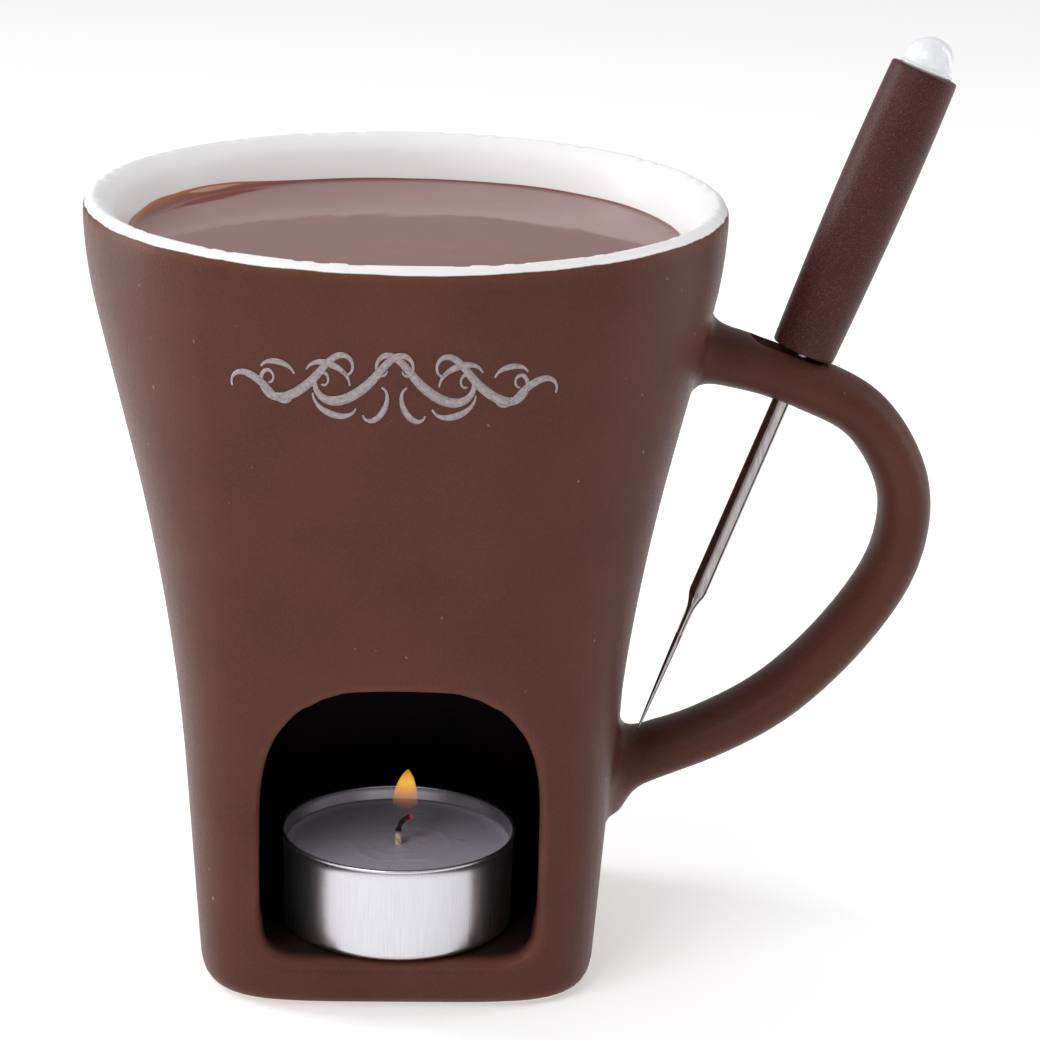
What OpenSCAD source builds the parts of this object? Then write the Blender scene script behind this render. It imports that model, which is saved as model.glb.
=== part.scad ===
// Chocolate fondue mug: a ceramic mug with a burner chamber under its bowl,
// a tealight in the chamber, and a fork that hangs in a slot in the handle.
// Origin on the mug's axis at the surface it stands on; the window faces -Y.

/* [Mug] */
// Height of the mug over its lip
mug_h = 125.5; // [118:0.5:132]
// Half width of the rounded-square foot, where the wall meets the table
foot_half = 31.75; // [31:0.05:34]
// Outward lean of the lower wall, mm per mm of height
lean_low = 0.078; // [0.06:0.002:0.09]
// Outward lean of the flared upper wall, mm per mm of height
lean_high = 0.257; // [0.22:0.001:0.27]
// Squareness of the foot: 2 is a circle, higher is squarer
foot_square = 5; // [3:0.5:6]
// Radius of the rounded edge under the foot
foot_round = 3.2; // [2.5:0.1:4]
// Thickness of the wall around the burner chamber
chamber_wall = 4.8; // [4.4:0.1:5.2]
// Thickness of the wall around the bowl, below the lip
bowl_wall = 6.7; // [5:0.1:7.5]
// Thickness of the rounded lip
lip = 3.4; // [3:0.1:4]

/* [Bowl and burner chamber] */
// Height of the bowl's floor
bowl_floor = 64.5; // [64:0.5:68]
// Level of the melted chocolate
chocolate_level = 118.2; // [110:0.1:119]
// Height of the chamber's floor
chamber_floor = 8.3; // [8.1:0.1:9.2]
// Height of the chamber's domed ceiling
chamber_top = 59.5; // [58:0.5:60]
// Width of the window in the front wall
window_w = 44; // [43.6:0.2:46]
// Height of the window's sill
sill = 7.9; // [7.5:0.1:7.9]
// Height of the crown of the window
window_top = 54.9; // [53:0.1:56]
// Height at which the window is widest
window_waist = 30; // [28:1:32]

/* [Handle] */
// Thickness of the handle, in the plane of its loop
handle_t = 8.6; // [8:0.1:9]
// Width of the handle, front to back
handle_w = 13; // [12.5:0.1:14]
// Length of the fork slot
slot_l = 13; // [12:0.5:13]
// Width of the fork slot
slot_w = 5.8; // [5.6:0.1:6]

/* [Tealight] */
// Diameter of the tealight cup
cup_d = 38; // [37:0.1:38.2]
// Height of the tealight cup
cup_h = 15.8; // [14:0.2:16]
// How far the tealight stands in front of the mug's axis
cup_forward = 14; // [10:0.5:14]
// Depth of the wax below the cup's edge
wax_below = 2.4; // [1.5:0.1:3]
// Diameter of the wick
wick_d = 1.3; // [1:0.1:1.6]

/* [Fork] */
// Lean of the fork along the handle, from upright, in degrees
fork_tilt = 21.5; // [21:0.1:22]
// Lean of the fork's points towards the front, in degrees
fork_lean = 4; // [3.5:0.1:4.2]
// Turn of the fork about its own length
fork_turn = -11.5; // [-12:0.5:4]
// Length of the fork below its grip
fork_l = 67.5; // [65:0.5:68]
// Diameter of the fork's round shaft
shaft_d = 2.9; // [2.6:0.1:3]
// Width across the two tines
tines_w = 4.4; // [4:0.1:4.5]
// Length of the grip
grip_l = 48.5; // [44:0.5:52]
// Diameter of the grip at its widest
grip_d = 11.5; // [11:0.1:12]
// Diameter of the finial's dome
finial_d = 8; // [7:0.1:8.4]

/* [Hidden] */

// Colours of the real materials
brown_glaze = [0.37, 0.25, 0.20];
chocolate_brown = [0.45, 0.28, 0.24];
tin = [0.80, 0.80, 0.82];
wax_grey = [0.72, 0.72, 0.72];
wick_cream = [0.85, 0.80, 0.70];
steel = [0.75, 0.76, 0.78];
grip_brown = [0.30, 0.17, 0.16];
finial_white = [0.94, 0.94, 0.96];

// Facets around the mug, and rings up its wall
sides = 64;
wall_rings = 16;
// Facets around the handle, and rings along each stretch between two route points
handle_sides = 24;
handle_steps = 4;

// Where the wall starts to flare, where it is straight again, and where it curls upright to the rim
flare_from = 0.27*mug_h;
flare_to = 0.70*mug_h;
curl_from = 0.86*mug_h;
// How fast the square foot becomes the round rim
rounding_rate = 1.3;
// Clearance of the clay joint between handle and body, and of the chocolate in the bowl
joint_gap = 0.02;
pour_gap = 0.05;
// Corner radius of the bowl's floor and of the chamber's ceiling
bowl_corner = 16;
ceiling_corner = 13;
// Depth below the lip in which the wall thickens from the lip to full thickness
lip_blend = 9;
// Hollow under the foot: depth, half width and squareness
foot_hollow = 2;
foot_hollow_half = 25;
foot_hollow_square = 4;
// Inner end of the window's cut through the front wall
window_inner_y = -26.2;
window_outer_y = -45;
// Squareness of the window's crown and of its lower corners
crown_square = 2.8;
sill_square = 10;

// Route of the handle's centre line, from the upper root to the lower one (X, Z)
handle_route = [[34, 103.5], [42, 102], [54, 99.1], [63.8, 95.8], [73.4, 91], [79.3, 83], [81.3, 74.4],
                [79, 64], [71.5, 52.5], [61.5, 42.5], [50.5, 36], [39.5, 31.9], [29, 28.8], [20, 26]];
// How much thicker the handle's roots are, and over what distance from the wall they fade
root_swell = 0.22;
root_fade = 14;

// Where the fork's grip rests on the handle (X, Y, Z), just clear of the glaze
fork_seat = [63.7, 0.3, 100.6];
// Centre of the slot on the handle's top
slot_centre = [61.4, 0, 101.6];

/* ---------- shapes shared by the mug's pieces ---------- */

// Half width of the outer wall at height z, without the foot's rounding
function flare(z) = z < flare_from ? 0
    : z < flare_to ? pow(z - flare_from, 2)/(2*(flare_to - flare_from))
    : z - (flare_from + flare_to)/2;
function curl(z) = pow(max(0, z - curl_from), 2)/(2*(mug_h - curl_from));
function wall_half(z) = foot_half + lean_low*z + (lean_high - lean_low)*flare(z) - lean_high*curl(z);

// Squareness of the section at height z
function square_at(z) = 2 + (foot_square - 2)*pow(max(0, 1 - z/mug_h), rounding_rate);

// Thickness of the bowl's wall at height z, thinner towards the lip
function wall_at(z) = bowl_wall - (bowl_wall - lip)*pow(max(0, 1 - (mug_h - z)/lip_blend), 2);

// One ring of points: a rounded square of half width h and squareness n
function ring(h, n, z) = [for (i = [0 : sides - 1])
    let (a = 360*i/sides, r = h/pow(pow(abs(cos(a)), n) + pow(abs(sin(a)), n), 1/n))
    [r*cos(a), r*sin(a), z]];

// A solid lofted through rings of equal point count, closed flat at both ends
module loft(rings) {
    n = len(rings[0]);
    last = len(rings) - 1;
    points = [for (r = rings) each r];
    sides_a = [for (k = [0 : last - 1], i = [0 : n - 1]) [k*n + i, (k + 1)*n + i, (k + 1)*n + (i + 1)%n]];
    sides_b = [for (k = [0 : last - 1], i = [0 : n - 1]) [k*n + i, (k + 1)*n + (i + 1)%n, k*n + (i + 1)%n]];
    start = [[for (i = [0 : n - 1]) i]];
    end = [[for (i = [n - 1 : -1 : 0]) last*n + i]];
    polyhedron(points, concat(sides_a, sides_b, start, end));
}

// Rings of the outer wall from the foot up to height top, grown outwards by g
function foot_rings(g) = [for (a = [0 : 22.5 : 67.5])
    let (z = foot_round*(1 - cos(a)))
    ring(wall_half(z) - foot_round*(1 - sin(a)) + g, square_at(z), z)];
function wall_rings_to(top, g) = [for (i = [0 : wall_rings])
    let (z = foot_round + (top - foot_round)*i/wall_rings)
    ring(wall_half(z) + g, square_at(z), z)];

// Rings over the rounded lip, from outside to inside
function lip_rings() = [for (a = [30 : 30 : 180])
    let (z = mug_h - lip/2 + lip/2*sin(a))
    ring(wall_half(mug_h - lip/2) - lip/2 + lip/2*cos(a), square_at(z), z)];

// Heights of the bowl's rings from the lip down to the corner; the chocolate's level is one of them
bowl_heights = [mug_h - 3.2, mug_h - 5, chocolate_level, 108, 98, 89];
function bowl_half(z) = wall_half(z) - wall_at(z);
function bowl_wall_rings(top, g) = [for (z = bowl_heights) if (z <= top) ring(bowl_half(z) - g, square_at(z), z)];
function bowl_floor_rings(g) = [for (a = [0 : 18 : 90])
    let (z = bowl_floor + g + bowl_corner*(1 - sin(a)))
    ring(bowl_half(bowl_floor + bowl_corner) - g - bowl_corner*(1 - cos(a)), square_at(z), z)];

// Outline of the window, seen from the front (X, Z)
function window_outline() = [for (i = [0 : 5 : 355])
    let (up = sin(i) >= 0,
         n = up ? crown_square : sill_square,
         h = up ? window_top - window_waist : window_waist - sill,
         x = window_w/2*sign(cos(i))*pow(abs(cos(i)), 2/n),
         z = h*sign(sin(i))*pow(abs(sin(i)), 2/n))
    [x, window_waist + z]];

/* ---------- mug ---------- */

module cup_solid() {
    loft(concat(foot_rings(0), wall_rings_to(mug_h - lip/2, 0), lip_rings(),
                bowl_wall_rings(mug_h, 0), bowl_floor_rings(0)));
}

// The burner chamber: follows the outer wall, with a domed ceiling
module chamber() {
    shoulder = chamber_top - ceiling_corner;
    half = wall_half(shoulder) - chamber_wall;
    straight = [for (z = [chamber_floor, 22, 34, shoulder]) ring(wall_half(z) - chamber_wall, square_at(z), z)];
    dome = [for (a = [22.5 : 22.5 : 90])
        ring(half - ceiling_corner*(1 - cos(a)), square_at(shoulder), shoulder + ceiling_corner*sin(a))];
    loft(concat(straight, dome));
}

module window_cut() {
    translate([0, window_inner_y, 0])
        rotate([90, 0, 0])
            linear_extrude(window_inner_y - window_outer_y)
                polygon(window_outline());
}

module foot_hollow_cut() {
    translate([0, 0, -1])
        linear_extrude(foot_hollow + 1)
            polygon([for (p = ring(foot_hollow_half, foot_hollow_square, 0)) [p[0], p[1]]]);
}

module mug_body() {
    color(brown_glaze)
        difference() {
            cup_solid();
            chamber();
            window_cut();
            foot_hollow_cut();
        }
}

// A smooth curve through the route: point and heading at place u of stretch k
function route_point(k, u) = let (a = handle_route[k - 1], b = handle_route[k],
                                  c = handle_route[k + 1], d = handle_route[k + 2])
    0.5*(2*b + (c - a)*u + (2*a - 5*b + 4*c - d)*u*u + (3*b - a - 3*c + d)*u*u*u);
function route_heading(k, u) = let (a = handle_route[k - 1], b = handle_route[k],
                                    c = handle_route[k + 1], d = handle_route[k + 2],
                                    v = 0.5*((c - a) + 2*(2*a - 5*b + 4*c - d)*u + 3*(3*b - a - 3*c + d)*u*u))
    v/norm(v);

// How far a point of the route is outside the mug's wall
function off_wall(p) = p[0] - wall_half(p[1]);
function swell(p) = 1 + root_swell*pow(max(0, 1 - max(0, off_wall(p))/root_fade), 2);

function handle_ring(k, u) = let (p = route_point(k, u), v = route_heading(k, u), s = swell(p))
    [for (i = [0 : handle_sides - 1]) let (a = 360*i/handle_sides,
        t = s*handle_t/2*cos(a))
        [p[0] - v[1]*t, s*handle_w/2*sin(a), p[1] + v[0]*t]];

module handle_sweep() {
    stretches = len(handle_route) - 3;
    loft([for (k = [1 : stretches], j = [0 : handle_steps - 1]) handle_ring(k, j/handle_steps)]);
}

// The slot lies along the handle's arm and is cut along the fork's own tilt
module slot_cut() {
    translate(slot_centre)
        rotate([0, fork_tilt, 0])
            translate([0, 0, -20])
                linear_extrude(40)
                    slot_outline();
}

// A slot outline with round ends
module slot_outline() {
    square([slot_l - slot_w, slot_w], center = true);
    for (end = [-1, 1])
        translate([end*(slot_l - slot_w)/2, 0])
            circle(d = slot_w, $fn = 48);
}

module mug_handle() {
    color(brown_glaze)
        difference() {
            handle_sweep();
            loft(concat(foot_rings(joint_gap), wall_rings_to(mug_h - lip/2, joint_gap)));
            slot_cut();
        }
}

module melted_chocolate() {
    color(chocolate_brown)
        loft(concat(bowl_wall_rings(chocolate_level, pour_gap), bowl_floor_rings(pour_gap)));
}

/* ---------- tealight ---------- */

// The tealight's pieces are drawn about its own axis, standing on its base
cup_wall = 0.4;
cup_corner = 1.2;
cup_taper = 0.5;
rim_r = 0.3;
sustainer_d = 12.5;
sustainer_t = 0.3;
neck_d = 2.4;
neck_h = 3;
wick_rise = 2.2;
wick_bend_r = 2.4;
wick_bend = 62;

module at_tealight() {
    translate([0, -cup_forward, chamber_floor])
        children();
}

// A quarter circle of points for a rounded corner in a turned profile
function corner(cx, cy, r, from, to) = [for (a = [from : (to - from)/4 : to]) [cx + r*cos(a), cy + r*sin(a)]];

module tealight_cup() {
    rb = cup_d/2 - cup_taper;
    rt = cup_d/2 - rim_r;
    color(tin)
        at_tealight() {
            rotate_extrude($fn = 96)
                polygon(concat([[0, 0]], corner(rb - cup_corner, cup_corner, cup_corner, -90, 0),
                               [[rt, cup_h - rim_r], [rt - cup_wall, cup_h - rim_r]],
                               [[rb - cup_wall, cup_corner]],
                               [[rb - cup_corner, cup_wall], [0, cup_wall]]));
            translate([0, 0, cup_h - rim_r])
                rotate_extrude($fn = 96)
                    translate([cup_d/2 - rim_r, 0])
                        circle(r = rim_r, $fn = 24);
        }
}

module sustainer_solid(grow) {
    translate([0, 0, cup_wall + 0.02]) {
        cylinder(d = sustainer_d + 2*grow, h = sustainer_t + grow, $fn = 64);
        cylinder(d = neck_d + 2*grow, h = neck_h + grow, $fn = 48);
    }
}

module tealight_wax() {
    top = cup_h - wax_below;
    floor_r = cup_d/2 - cup_taper - cup_wall - 0.15;
    top_r = cup_d/2 - rim_r - cup_wall - 0.15;
    // radius of the wax at its level, on the cup's slightly spreading wall
    level_r = floor_r + (top_r - floor_r)*(top - cup_corner)/(cup_h - rim_r - cup_corner);
    color(wax_grey)
        at_tealight()
            difference() {
                rotate_extrude($fn = 96)
                    polygon([[0, cup_wall + 0.02], [floor_r - cup_corner + cup_wall, cup_wall + 0.02],
                             [floor_r, cup_corner + 0.15], [level_r, top - 0.3], [level_r, top], [0, top]]);
                sustainer_solid(0.02);
                cylinder(d = wick_d + 0.04, h = cup_h, $fn = 32);
            }
}

module tealight_wick() {
    foot = cup_wall + 0.4;
    bend_at = cup_h - wax_below + wick_rise;
    color(wick_cream)
        at_tealight() {
            translate([0, 0, foot])
                cylinder(d = wick_d, h = bend_at - foot, $fn = 32);
            translate([wick_bend_r, 0, bend_at])
                rotate([90, 0, 0])
                    rotate([0, 0, 180 - wick_bend])
                        rotate_extrude(angle = wick_bend, $fn = 96)
                            translate([wick_bend_r, 0])
                                circle(d = wick_d, $fn = 32);
        }
}

module wick_sustainer() {
    color(steel)
        at_tealight()
            difference() {
                sustainer_solid(0);
                translate([0, 0, cup_wall + 0.38])
                    cylinder(d = wick_d + 0.02, h = cup_h, $fn = 32);
            }
}

/* ---------- fork ---------- */

// The fork is drawn upright, with the bottom of its grip at the origin
shoulder_z = -43;
neck_z = -46;
crotch_z = -51;
blade_t = 1.4;
point_t = 0.5;
tine_gap = 1.6;
point_w = 0.35;
tang_l = 24;
tang_gap = 0.01;
grip_end_d = 10.3;
grip_top_d = 11;
widest_at = 31;
grip_edge = 0.8;
flange_d = 8.8;
flange_t = 0.7;
peg_d = 3.6;
peg_l = 8;

module at_fork() {
    translate(fork_seat)
        rotate([-fork_lean, fork_tilt, 0])
            rotate([0, 0, fork_turn])
                children();
}

// Outline of the flattened end across its width: a neck and two pointed tines
module tines_outline() {
    half = tines_w/2;
    polygon([[-shaft_d/2, shoulder_z], [-half, neck_z - 2], [-half, -fork_l + 6], [-half + point_w, -fork_l],
             [-half + 2*point_w, -fork_l], [-tine_gap/2, -fork_l + 7], [-tine_gap/2, crotch_z - 0.8],
             [0, crotch_z], [tine_gap/2, crotch_z - 0.8], [tine_gap/2, -fork_l + 7],
             [half - 2*point_w, -fork_l], [half - point_w, -fork_l], [half, -fork_l + 6],
             [half, neck_z - 2], [shaft_d/2, shoulder_z]]);
}

// Outline of the flattened end seen edge-on
module blade_outline() {
    polygon([[-shaft_d/2, shoulder_z], [-blade_t/2, neck_z], [-point_t/2, -fork_l],
             [point_t/2, -fork_l], [blade_t/2, neck_z], [shaft_d/2, shoulder_z]]);
}

module fork_shaft() {
    color(steel)
        at_fork() {
            translate([0, 0, shoulder_z])
                cylinder(d = shaft_d, h = tang_l - shoulder_z, $fn = 48);
            intersection() {
                rotate([90, 0, 90])
                    linear_extrude(shaft_d + 1, center = true)
                        tines_outline();
                rotate([90, 0, 0])
                    linear_extrude(tines_w + 1, center = true)
                        blade_outline();
            }
        }
}

// The grip's radius at height z: it swells to its widest, then narrows to its top
function grip_r(z) = z < widest_at
    ? grip_end_d/2 + (grip_d - grip_end_d)/2*sin(90*z/widest_at)
    : grip_d/2 - (grip_d - grip_top_d)/2*(1 - cos(90*(z - widest_at)/(grip_l - widest_at)));

module fork_grip() {
    color(grip_brown)
        at_fork()
            difference() {
                rotate_extrude($fn = 96)
                    polygon(concat([[0, 0]],
                                   corner(grip_r(0) - grip_edge, grip_edge, grip_edge, -90, 0),
                                   [for (z = [4 : 4 : grip_l - 3]) [grip_r(z), z]],
                                   corner(grip_r(grip_l) - grip_edge, grip_l - grip_edge, grip_edge, 0, 90),
                                   [[0, grip_l]]));
                translate([0, 0, -1])
                    cylinder(d = shaft_d + 2*tang_gap, h = tang_l + 1 + tang_gap, $fn = 48);
                translate([0, 0, grip_l - peg_l - tang_gap])
                    cylinder(d = peg_d + 2*tang_gap, h = peg_l + 1, $fn = 48);
            }
}

module fork_finial() {
    color(finial_white)
        at_fork()
            translate([0, 0, grip_l]) {
                translate([0, 0, -peg_l])
                    cylinder(d = peg_d, h = peg_l + 1, $fn = 48);
                translate([0, 0, tang_gap])
                    cylinder(d = flange_d, h = flange_t, $fn = 64);
                intersection() {
                    translate([0, 0, 1.5])
                        sphere(d = finial_d, $fn = 64);
                    translate([0, 0, tang_gap])
                        cylinder(d = flange_d, h = finial_d, $fn = 64);
                }
            }
}

mug_body();
mug_handle();
melted_chocolate();
tealight_cup();
tealight_wax();
tealight_wick();
wick_sustainer();
fork_shaft();
fork_grip();
fork_finial();
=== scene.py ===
import math

import bmesh
import bpy
from mathutils import Matrix, Vector, noise
from mathutils.bvhtree import BVHTree


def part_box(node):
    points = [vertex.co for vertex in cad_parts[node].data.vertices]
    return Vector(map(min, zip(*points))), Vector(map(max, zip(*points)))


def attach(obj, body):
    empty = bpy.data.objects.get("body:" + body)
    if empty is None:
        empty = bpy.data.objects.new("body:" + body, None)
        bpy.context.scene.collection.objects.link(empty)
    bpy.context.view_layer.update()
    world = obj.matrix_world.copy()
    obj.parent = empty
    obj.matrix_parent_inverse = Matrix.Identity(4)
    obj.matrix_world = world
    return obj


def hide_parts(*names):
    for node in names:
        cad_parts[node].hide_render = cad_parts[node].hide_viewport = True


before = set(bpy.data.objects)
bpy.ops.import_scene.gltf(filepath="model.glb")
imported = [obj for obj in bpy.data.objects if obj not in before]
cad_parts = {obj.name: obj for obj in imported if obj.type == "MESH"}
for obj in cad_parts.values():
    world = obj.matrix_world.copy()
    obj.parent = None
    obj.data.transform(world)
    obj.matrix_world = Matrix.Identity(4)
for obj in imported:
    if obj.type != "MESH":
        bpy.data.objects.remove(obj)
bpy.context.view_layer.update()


# ---------------------------------------------------------------- camera
# It stands in front of the mug at arm's length, above the rim, and looks down
# over the chocolate, turned a touch to the handle's side and a little off level.
camera_lens = bpy.data.cameras.new("table_camera")
camera_lens.lens = 134
camera_lens.sensor_width = 36
camera_lens.clip_end = 20
camera = bpy.data.objects.new("table_camera", camera_lens)
bpy.context.scene.collection.objects.link(camera)
camera_turn = math.radians(-2.42)
camera_dip = math.radians(17.15)
camera_roll = math.radians(1.38)
camera.matrix_world = (
    Matrix.Translation((-0.0062, -0.5977, 0.2565))
    @ Matrix.Rotation(camera_turn, 4, "Z")
    @ Matrix.Rotation(math.pi / 2 - camera_dip, 4, "X")
    @ Matrix.Rotation(camera_roll, 4, "Z")
)
bpy.context.scene.camera = camera


# ---------------------------------------------------------------- mug
# One slip-cast stoneware piece: a cup with a burner chamber under its bowl and
# an arched window in front. It flares from a square foot to a round rim, and
# the looped handle is luted on wet, so clay fillets run into both its roots.
mug_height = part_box("mug_body")[1].z
foot_half = 0.03175
foot_round = 0.0032
foot_hollow = 0.002
foot_square = 5
lean_low = 0.078
lean_high = 0.257
flare_from = 0.27 * mug_height
flare_to = 0.70 * mug_height
curl_from = 0.86 * mug_height
lip = 0.0034
bowl_wall = 0.0067
lip_blend = 0.009
bowl_floor = 0.0645
bowl_corner = 0.016
chamber_wall = 0.0048
chamber_floor = 0.0083
chamber_top = 0.0595
ceiling_corner = 0.013


def half_width(z):
    """Half the mug's width across its flats, outside, at a height."""
    flare = 0
    if z > flare_to:
        flare = z - (flare_from + flare_to) / 2
    elif z > flare_from:
        flare = (z - flare_from) ** 2 / (2 * (flare_to - flare_from))
    curl = max(0, z - curl_from) ** 2 / (2 * (mug_height - curl_from))
    return foot_half + lean_low * z + (lean_high - lean_low) * flare - lean_high * curl


def squareness(z):
    """2 is a circle; the foot is a rounded square."""
    return 2 + (foot_square - 2) * max(0, 1 - z / mug_height) ** 1.3


def bowl_half(z):
    thinning = max(0, 1 - (mug_height - z) / lip_blend) ** 2
    return half_width(z) - bowl_wall + (bowl_wall - lip) * thinning


def lay(verts, half, power, z):
    """Lays a ring of points on a rounded square, each at the angle it had."""
    for vert in verts:
        angle = math.atan2(vert.co.y, vert.co.x)
        across, along = abs(math.cos(angle)) ** power, abs(math.sin(angle)) ** power
        reach = half / (across + along) ** (1 / power)
        vert.co = (reach * math.cos(angle), reach * math.sin(angle), z)


def grow(bm, edges):
    """Extrudes a ring of edges in place and gives the new ring's points and edges."""
    grown = bmesh.ops.extrude_edge_only(bm, edges=edges)["geom"]
    verts = [part for part in grown if isinstance(part, bmesh.types.BMVert)]
    fresh = set(verts)
    ring = [part for part in grown if isinstance(part, bmesh.types.BMEdge) and set(part.verts) <= fresh]
    return verts, ring


def as_piece(bm, name):
    """Closes the work on a mesh: faces turned outward, shaded smooth, object made."""
    bmesh.ops.recalc_face_normals(bm, faces=bm.faces)
    for face in bm.faces:
        face.smooth = True
    mesh = bpy.data.meshes.new(name)
    bm.to_mesh(mesh)
    bm.free()
    piece = bpy.data.objects.new(name, mesh)
    bpy.context.scene.collection.objects.link(piece)
    return piece


def cast(levels, name, sides=128):
    """A closed casting through levels of (half width, squareness, height)."""
    bm = bmesh.new()
    verts = bmesh.ops.create_circle(bm, cap_ends=True, radius=1, segments=sides)["verts"]
    edges = list(bm.edges)
    lay(verts, *levels[0])
    for level in levels[1:]:
        verts, edges = grow(bm, edges)
        lay(verts, *level)
    bmesh.ops.holes_fill(bm, edges=edges, sides=0)
    return as_piece(bm, name)


def heights(low, high, count):
    return [low + (high - low) * step / count for step in range(count + 1)]


def quarter(steps):
    return [math.pi / 2 * step / steps for step in range(steps + 1)]


levels = [(0.025, 4, foot_hollow), (0.025, 4, 0)]
for turn in quarter(6):
    z = foot_round * (1 - math.cos(turn))
    levels.append((half_width(z) - foot_round * (1 - math.sin(turn)), squareness(z), z))
for z in heights(foot_round, mug_height - lip / 2, 44)[1:]:
    levels.append((half_width(z), squareness(z), z))
for turn in quarter(10)[1:] + [math.pi / 2 + t for t in quarter(10)[1:-1]]:
    z = mug_height - lip / 2 + lip / 2 * math.sin(turn)
    levels.append((half_width(mug_height - lip / 2) - lip / 2 * (1 - math.cos(turn)), 2, z))
for z in reversed(heights(bowl_floor + bowl_corner, mug_height - lip / 2, 26)):
    levels.append((bowl_half(z), squareness(z), z))
corner_half = bowl_half(bowl_floor + bowl_corner)
for turn in quarter(9)[1:]:
    z = bowl_floor + bowl_corner * (1 - math.sin(turn))
    levels.append((corner_half - bowl_corner * (1 - math.cos(turn)), squareness(z), z))
mug = cast(levels, "mug_glazed")

handle_half_t = 0.0043
handle_half_w = 0.0065
root_swell = 0.22
root_fade = 0.014
upper_fillet = 0.0016
lower_fillet = 0.0045
handle_route = [
    (34, 103.5), (42, 102), (54, 99.1), (63.8, 95.8), (73.4, 91), (79.3, 83), (81.3, 74.4),
    (79, 64), (71.5, 52.5), (61.5, 42.5), (50.5, 36), (39.5, 31.9), (29, 28.8), (20, 26),
]


def sweep(stations, sides, name):
    """A closed rod through stations, each the matrix that a unit ring is set by."""
    bm = bmesh.new()
    verts = bmesh.ops.create_circle(bm, cap_ends=True, radius=1, segments=sides)["verts"]
    edges = list(bm.edges)
    bmesh.ops.transform(bm, matrix=stations[0], verts=verts)
    for before, after in zip(stations, stations[1:]):
        verts, edges = grow(bm, edges)
        bmesh.ops.transform(bm, matrix=after @ before.inverted(), verts=verts)
    bmesh.ops.holes_fill(bm, edges=edges, sides=0)
    return as_piece(bm, name)


def through(points, steps):
    """Points and headings along a smooth curve that passes through all but the end points."""
    found = []
    for a, b, c, d in zip(points, points[1:], points[2:], points[3:]):
        for step in range(steps):
            u = step / steps
            place = 0.5 * (2 * b + (c - a) * u + (2 * a - 5 * b + 4 * c - d) * u**2
                           + (3 * b - a - 3 * c + d) * u**3)
            heading = 0.5 * ((c - a) + 2 * (2 * a - 5 * b + 4 * c - d) * u
                             + 3 * (3 * b - a - 3 * c + d) * u**2)
            found.append((place, heading.normalized()))
    return found


def station(place, heading, side, half_a, half_b):
    """Sets a unit ring square to heading; half_b is its reach along side."""
    up = side.cross(heading).normalized()
    basis = Matrix((up, side, heading)).transposed().to_4x4()
    return Matrix.Translation(place) @ basis @ Matrix.Diagonal((half_a, half_b, 1, 1))


stations = []
for place, heading in through([Vector((x, 0, z)) / 1000 for x, z in handle_route], 6):
    off_wall = place.x - half_width(place.z)
    swell = 1 + root_swell * max(0, 1 - max(0, off_wall) / root_fade) ** 2
    root_fillet = upper_fillet if place.z > mug_height / 2 else lower_fillet
    short = min(root_fillet, max(0, root_fillet - off_wall))
    fillet = root_fillet - math.sqrt(root_fillet**2 - short**2)
    fillet *= min(1, max(0, 1 + off_wall / 0.003))
    stations.append(station(place, heading, Vector((0, 1, 0)),
                            handle_half_t * swell + fillet, handle_half_w * swell + fillet))
handle = sweep(stations, 40, "handle_clay")

levels = [(half_width(z) - chamber_wall, squareness(z), z)
          for z in heights(chamber_floor, chamber_top - ceiling_corner, 12)]
dome_half, dome_square = levels[-1][:2]
for turn in quarter(8)[1:]:
    levels.append((dome_half - ceiling_corner * (1 - math.cos(turn)), dome_square,
                   chamber_top - ceiling_corner * (1 - math.sin(turn))))
chamber = cast(levels, "chamber_core")

window_half = 0.022
window_waist = 0.030
window_top = 0.0549
sill = 0.0079
crown_square = 2.8
sill_square = 10


def window_edge(x, z):
    """Below 1 inside the window's outline, 1 on it and above 1 outside."""
    rise = (z - window_waist) / (window_top - window_waist if z > window_waist else window_waist - sill)
    power = crown_square if z > window_waist else sill_square
    return (abs(x / window_half) ** power + abs(rise) ** power) ** (1 / power)


bm = bmesh.new()
verts = bmesh.ops.create_circle(bm, cap_ends=True, radius=1, segments=120)["verts"]
for vert in verts:
    angle = math.atan2(vert.co.y, vert.co.x)
    c, s = math.cos(angle), math.sin(angle)
    power = crown_square if s > 0 else sill_square
    tall = window_top - window_waist if s > 0 else window_waist - sill
    vert.co = (window_half * math.copysign(abs(c) ** (2 / power), c), -0.045,
               window_waist + tall * math.copysign(abs(s) ** (2 / power), s))
raised = bmesh.ops.extrude_face_region(bm, geom=list(bm.faces))["geom"]
bmesh.ops.translate(bm, vec=(0, 0.0188, 0), verts=[v for v in raised if isinstance(v, bmesh.types.BMVert)])
window = as_piece(bm, "window_core")

fork_tilt = math.radians(21.5)
slot_length = 0.013
slot_width = 0.0058
slot_centre = Vector((0.0614, 0, 0.1016))
slot_place = Matrix.Translation(slot_centre) @ Matrix.Rotation(fork_tilt, 4, "Y")
bm = bmesh.new()
verts = bmesh.ops.create_circle(bm, cap_ends=True, radius=slot_width / 2, segments=48)["verts"]
for vert in verts:
    vert.co.x += math.copysign((slot_length - slot_width) / 2, vert.co.x)
    vert.co.z = -0.02
raised = bmesh.ops.extrude_face_region(bm, geom=list(bm.faces))["geom"]
bmesh.ops.translate(bm, vec=(0, 0, 0.04), verts=[v for v in raised if isinstance(v, bmesh.types.BMVert)])
bmesh.ops.transform(bm, matrix=slot_place, verts=bm.verts)
slot_core = as_piece(bm, "slot_core")


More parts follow.
